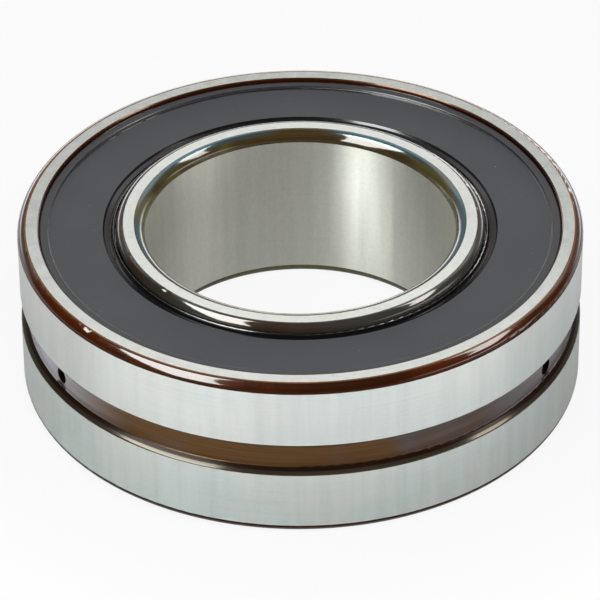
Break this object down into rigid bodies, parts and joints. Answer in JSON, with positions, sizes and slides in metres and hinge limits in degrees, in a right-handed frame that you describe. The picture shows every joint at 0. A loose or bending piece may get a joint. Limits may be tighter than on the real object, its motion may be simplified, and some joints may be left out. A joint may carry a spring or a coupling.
{
  "type": "sealed spherical roller bearing",
  "caption": "Sealed self-aligning roller bearing: barrel rollers in a spherical raceway, rubber contact seals, and a lubrication groove with holes round the outer ring.",
  "frame": {"origin": "centre of the spherical raceway: on the bore's axis, midway between the side faces", "axes": "+Z along the bore's axis, +X and +Y across it; the lower side faces are at z = -15.5 mm"},
  "size_m": [0.1, 0.1, 0.031],
  "materials": {
    "ring_steel": "fine ground",
    "ring_steel_inner": "fine ground",
    "guide_ring_steel": "turned",
    "cage_steel": "satin, nitrided",
    "roller_steel": "honed",
    "seal_rubber": "matte moulded",
    "insert_steel": "cold rolled"
  },
  "bodies": {
    "outer_ring_and_seals": {"outer_ring": "ring_steel", "seal_upper": "seal_rubber", "seal_upper_insert": "insert_steel", "seal_lower": "seal_rubber", "seal_lower_insert": "insert_steel"},
    "guide_ring": {"guide_ring": "guide_ring_steel"},
    "inner_ring": {"inner_ring": "ring_steel_inner"},
    "cage_upper": {"cage_upper": "cage_steel"},
    "cage_lower": {"cage_lower": "cage_steel"},
    "roller_upper_01": {"roller_upper_01": "roller_steel"},
    "roller_upper_02": {"roller_upper_02": "roller_steel"},
    "roller_upper_03": {"roller_upper_03": "roller_steel"},
    "roller_upper_04": {"roller_upper_04": "roller_steel"},
    "roller_upper_05": {"roller_upper_05": "roller_steel"},
    "roller_upper_06": {"roller_upper_06": "roller_steel"},
    "roller_upper_07": {"roller_upper_07": "roller_steel"},
    "roller_upper_08": {"roller_upper_08": "roller_steel"},
    "roller_upper_09": {"roller_upper_09": "roller_steel"},
    "roller_upper_10": {"roller_upper_10": "roller_steel"},
    "roller_upper_11": {"roller_upper_11": "roller_steel"},
    "roller_upper_12": {"roller_upper_12": "roller_steel"},
    "roller_upper_13": {"roller_upper_13": "roller_steel"},
    "roller_upper_14": {"roller_upper_14": "roller_steel"},
    "roller_upper_15": {"roller_upper_15": "roller_steel"},
    "roller_upper_16": {"roller_upper_16": "roller_steel"},
    "roller_upper_17": {"roller_upper_17": "roller_steel"},
    "roller_lower_01": {"roller_lower_01": "roller_steel"},
    "roller_lower_02": {"roller_lower_02": "roller_steel"},
    "roller_lower_03": {"roller_lower_03": "roller_steel"},
    "roller_lower_04": {"roller_lower_04": "roller_steel"},
    "roller_lower_05": {"roller_lower_05": "roller_steel"},
    "roller_lower_06": {"roller_lower_06": "roller_steel"},
    "roller_lower_07": {"roller_lower_07": "roller_steel"},
    "roller_lower_08": {"roller_lower_08": "roller_steel"},
    "roller_lower_09": {"roller_lower_09": "roller_steel"},
    "roller_lower_10": {"roller_lower_10": "roller_steel"},
    "roller_lower_11": {"roller_lower_11": "roller_steel"},
    "roller_lower_12": {"roller_lower_12": "roller_steel"},
    "roller_lower_13": {"roller_lower_13": "roller_steel"},
    "roller_lower_14": {"roller_lower_14": "roller_steel"},
    "roller_lower_15": {"roller_lower_15": "roller_steel"},
    "roller_lower_16": {"roller_lower_16": "roller_steel"},
    "roller_lower_17": {"roller_lower_17": "roller_steel"}
  },
  "joints": [
    {"name": "swivel", "type": "hinge", "parent": "outer_ring_and_seals", "child": "guide_ring", "pos_m": [0, 0, 0], "axis": [1, 0, 0], "range_deg": [-0.5, 0.5]},
    {"name": "inner_ring_spin", "type": "hinge", "parent": "guide_ring", "child": "inner_ring", "pos_m": [0, 0, 0], "axis": [0, 0, 1], "continuous": true},
    {"name": "cage_upper_spin", "type": "hinge", "parent": "guide_ring", "child": "cage_upper", "pos_m": [0, 0, 0], "axis": [0, 0, 1], "continuous": true},
    {"name": "cage_lower_spin", "type": "hinge", "parent": "guide_ring", "child": "cage_lower", "pos_m": [0, 0, 0], "axis": [0, 0, 1], "continuous": true},
    {"name": "roller_upper_01_spin", "type": "hinge", "parent": "cage_upper", "child": "roller_upper_01", "pos_m": [0.03922, 0, 0.00625], "axis": [-0.1574, 0, 0.9875], "continuous": true},
    {"name": "roller_upper_02_spin", "type": "hinge", "parent": "cage_upper", "child": "roller_upper_02", "pos_m": [0.03657, 0.01417, 0.00625], "axis": [-0.1468, -0.0569, 0.9875], "continuous": true},
    {"name": "roller_upper_03_spin", "type": "hinge", "parent": "cage_upper", "child": "roller_upper_03", "pos_m": [0.02898, 0.02642, 0.00625], "axis": [-0.1163, -0.106, 0.9875], "continuous": true},
    {"name": "roller_upper_04_spin", "type": "hinge", "parent": "cage_upper", "child": "roller_upper_04", "pos_m": [0.01748, 0.0351, 0.00625], "axis": [-0.0702, -0.1409, 0.9875], "continuous": true},
    {"name": "roller_upper_05_spin", "type": "hinge", "parent": "cage_upper", "child": "roller_upper_05", "pos_m": [0.00362, 0.03905, 0.00625], "axis": [-0.0145, -0.1567, 0.9875], "continuous": true},
    {"name": "roller_upper_06_spin", "type": "hinge", "parent": "cage_upper", "child": "roller_upper_06", "pos_m": [-0.01073, 0.03772, 0.00625], "axis": [0.0431, -0.1514, 0.9875], "continuous": true},
    {"name": "roller_upper_07_spin", "type": "hinge", "parent": "cage_upper", "child": "roller_upper_07", "pos_m": [-0.02363, 0.03129, 0.00625], "axis": [0.0948, -0.1256, 0.9875], "continuous": true},
    {"name": "roller_upper_08_spin", "type": "hinge", "parent": "cage_upper", "child": "roller_upper_08", "pos_m": [-0.03334, 0.02064, 0.00625], "axis": [0.1338, -0.0829, 0.9875], "continuous": true},
    {"name": "roller_upper_09_spin", "type": "hinge", "parent": "cage_upper", "child": "roller_upper_09", "pos_m": [-0.03855, 0.00721, 0.00625], "axis": [0.1547, -0.0289, 0.9875], "continuous": true},
    {"name": "roller_upper_10_spin", "type": "hinge", "parent": "cage_upper", "child": "roller_upper_10", "pos_m": [-0.03855, -0.00721, 0.00625], "axis": [0.1547, 0.0289, 0.9875], "continuous": true},
    {"name": "roller_upper_11_spin", "type": "hinge", "parent": "cage_upper", "child": "roller_upper_11", "pos_m": [-0.03334, -0.02064, 0.00625], "axis": [0.1338, 0.0829, 0.9875], "continuous": true},
    {"name": "roller_upper_12_spin", "type": "hinge", "parent": "cage_upper", "child": "roller_upper_12", "pos_m": [-0.02363, -0.03129, 0.00625], "axis": [0.0948, 0.1256, 0.9875], "continuous": true},
    {"name": "roller_upper_13_spin", "type": "hinge", "parent": "cage_upper", "child": "roller_upper_13", "pos_m": [-0.01073, -0.03772, 0.00625], "axis": [0.0431, 0.1514, 0.9875], "continuous": true},
    {"name": "roller_upper_14_spin", "type": "hinge", "parent": "cage_upper", "child": "roller_upper_14", "pos_m": [0.00362, -0.03905, 0.00625], "axis": [-0.0145, 0.1567, 0.9875], "continuous": true},
    {"name": "roller_upper_15_spin", "type": "hinge", "parent": "cage_upper", "child": "roller_upper_15", "pos_m": [0.01748, -0.0351, 0.00625], "axis": [-0.0702, 0.1409, 0.9875], "continuous": true},
    {"name": "roller_upper_16_spin", "type": "hinge", "parent": "cage_upper", "child": "roller_upper_16", "pos_m": [0.02898, -0.02642, 0.00625], "axis": [-0.1163, 0.106, 0.9875], "continuous": true},
    {"name": "roller_upper_17_spin", "type": "hinge", "parent": "cage_upper", "child": "roller_upper_17", "pos_m": [0.03657, -0.01417, 0.00625], "axis": [-0.1468, 0.0569, 0.9875], "continuous": true},
    {"name": "roller_lower_01_spin", "type": "hinge", "parent": "cage_lower", "child": "roller_lower_01", "pos_m": [0.03855, 0.00721, -0.00625], "axis": [0.1547, 0.0289, 0.9875], "continuous": true},
    {"name": "roller_lower_02_spin", "type": "hinge", "parent": "cage_lower", "child": "roller_lower_02", "pos_m": [0.03334, 0.02064, -0.00625], "axis": [0.1338, 0.0829, 0.9875], "continuous": true},
    {"name": "roller_lower_03_spin", "type": "hinge", "parent": "cage_lower", "child": "roller_lower_03", "pos_m": [0.02363, 0.03129, -0.00625], "axis": [0.0948, 0.1256, 0.9875], "continuous": true},
    {"name": "roller_lower_04_spin", "type": "hinge", "parent": "cage_lower", "child": "roller_lower_04", "pos_m": [0.01073, 0.03772, -0.00625], "axis": [0.0431, 0.1514, 0.9875], "continuous": true},
    {"name": "roller_lower_05_spin", "type": "hinge", "parent": "cage_lower", "child": "roller_lower_05", "pos_m": [-0.00362, 0.03905, -0.00625], "axis": [-0.0145, 0.1567, 0.9875], "continuous": true},
    {"name": "roller_lower_06_spin", "type": "hinge", "parent": "cage_lower", "child": "roller_lower_06", "pos_m": [-0.01748, 0.0351, -0.00625], "axis": [-0.0702, 0.1409, 0.9875], "continuous": true},
    {"name": "roller_lower_07_spin", "type": "hinge", "parent": "cage_lower", "child": "roller_lower_07", "pos_m": [-0.02898, 0.02642, -0.00625], "axis": [-0.1163, 0.106, 0.9875], "continuous": true},
    {"name": "roller_lower_08_spin", "type": "hinge", "parent": "cage_lower", "child": "roller_lower_08", "pos_m": [-0.03657, 0.01417, -0.00625], "axis": [-0.1468, 0.0569, 0.9875], "continuous": true},
    {"name": "roller_lower_09_spin", "type": "hinge", "parent": "cage_lower", "child": "roller_lower_09", "pos_m": [-0.03922, 0, -0.00625], "axis": [-0.1574, 0, 0.9875], "continuous": true},
    {"name": "roller_lower_10_spin", "type": "hinge", "parent": "cage_lower", "child": "roller_lower_10", "pos_m": [-0.03657, -0.01417, -0.00625], "axis": [-0.1468, -0.0569, 0.9875], "continuous": true},
    {"name": "roller_lower_11_spin", "type": "hinge", "parent": "cage_lower", "child": "roller_lower_11", "pos_m": [-0.02898, -0.02642, -0.00625], "axis": [-0.1163, -0.106, 0.9875], "continuous": true},
    {"name": "roller_lower_12_spin", "type": "hinge", "parent": "cage_lower", "child": "roller_lower_12", "pos_m": [-0.01748, -0.0351, -0.00625], "axis": [-0.0702, -0.1409, 0.9875], "continuous": true},
    {"name": "roller_lower_13_spin", "type": "hinge", "parent": "cage_lower", "child": "roller_lower_13", "pos_m": [-0.00362, -0.03905, -0.00625], "axis": [-0.0145, -0.1567, 0.9875], "continuous": true},
    {"name": "roller_lower_14_spin", "type": "hinge", "parent": "cage_lower", "child": "roller_lower_14", "pos_m": [0.01073, -0.03772, -0.00625], "axis": [0.0431, -0.1514, 0.9875], "continuous": true},
    {"name": "roller_lower_15_spin", "type": "hinge", "parent": "cage_lower", "child": "roller_lower_15", "pos_m": [0.02363, -0.03129, -0.00625], "axis": [0.0948, -0.1256, 0.9875], "continuous": true},
    {"name": "roller_lower_16_spin", "type": "hinge", "parent": "cage_lower", "child": "roller_lower_16", "pos_m": [0.03334, -0.02064, -0.00625], "axis": [0.1338, -0.0829, 0.9875], "continuous": true},
    {"name": "roller_lower_17_spin", "type": "hinge", "parent": "cage_lower", "child": "roller_lower_17", "pos_m": [0.03855, -0.00721, -0.00625], "axis": [0.1547, -0.0289, 0.9875], "continuous": true}
  ],
  "couplings": [
    {"joint": "cage_upper_spin", "follows": "inner_ring_spin", "ratio": 0.42445},
    {"joint": "cage_lower_spin", "follows": "inner_ring_spin", "ratio": 0.42445},
    {"joint": "roller_upper_01_spin", "follows": "inner_ring_spin", "ratio": -3.1933},
    {"joint": "roller_upper_02_spin", "follows": "inner_ring_spin", "ratio": -3.1933},
    {"joint": "roller_upper_03_spin", "follows": "inner_ring_spin", "ratio": -3.1933},
    {"joint": "roller_upper_04_spin", "follows": "inner_ring_spin", "ratio": -3.1933},
    {"joint": "roller_upper_05_spin", "follows": "inner_ring_spin", "ratio": -3.1933},
    {"joint": "roller_upper_06_spin", "follows": "inner_ring_spin", "ratio": -3.1933},
    {"joint": "roller_upper_07_spin", "follows": "inner_ring_spin", "ratio": -3.1933},
    {"joint": "roller_upper_08_spin", "follows": "inner_ring_spin", "ratio": -3.1933},
    {"joint": "roller_upper_09_spin", "follows": "inner_ring_spin", "ratio": -3.1933},
    {"joint": "roller_upper_10_spin", "follows": "inner_ring_spin", "ratio": -3.1933},
    {"joint": "roller_upper_11_spin", "follows": "inner_ring_spin", "ratio": -3.1933},
    {"joint": "roller_upper_12_spin", "follows": "inner_ring_spin", "ratio": -3.1933},
    {"joint": "roller_upper_13_spin", "follows": "inner_ring_spin", "ratio": -3.1933},
    {"joint": "roller_upper_14_spin", "follows": "inner_ring_spin", "ratio": -3.1933},
    {"joint": "roller_upper_15_spin", "follows": "inner_ring_spin", "ratio": -3.1933},
    {"joint": "roller_upper_16_spin", "follows": "inner_ring_spin", "ratio": -3.1933},
    {"joint": "roller_upper_17_spin", "follows": "inner_ring_spin", "ratio": -3.1933},
    {"joint": "roller_lower_01_spin", "follows": "inner_ring_spin", "ratio": -3.1933},
    {"joint": "roller_lower_02_spin", "follows": "inner_ring_spin", "ratio": -3.1933},
    {"joint": "roller_lower_03_spin", "follows": "inner_ring_spin", "ratio": -3.1933},
    {"joint": "roller_lower_04_spin", "follows": "inner_ring_spin", "ratio": -3.1933},
    {"joint": "roller_lower_05_spin", "follows": "inner_ring_spin", "ratio": -3.1933},
    {"joint": "roller_lower_06_spin", "follows": "inner_ring_spin", "ratio": -3.1933},
    {"joint": "roller_lower_07_spin", "follows": "inner_ring_spin", "ratio": -3.1933},
    {"joint": "roller_lower_08_spin", "follows": "inner_ring_spin", "ratio": -3.1933},
    {"joint": "roller_lower_09_spin", "follows": "inner_ring_spin", "ratio": -3.1933},
    {"joint": "roller_lower_10_spin", "follows": "inner_ring_spin", "ratio": -3.1933},
    {"joint": "roller_lower_11_spin", "follows": "inner_ring_spin", "ratio": -3.1933},
    {"joint": "roller_lower_12_spin", "follows": "inner_ring_spin", "ratio": -3.1933},
    {"joint": "roller_lower_13_spin", "follows": "inner_ring_spin", "ratio": -3.1933},
    {"joint": "roller_lower_14_spin", "follows": "inner_ring_spin", "ratio": -3.1933},
    {"joint": "roller_lower_15_spin", "follows": "inner_ring_spin", "ratio": -3.1933},
    {"joint": "roller_lower_16_spin", "follows": "inner_ring_spin", "ratio": -3.1933},
    {"joint": "roller_lower_17_spin", "follows": "inner_ring_spin", "ratio": -3.1933}
  ]
}
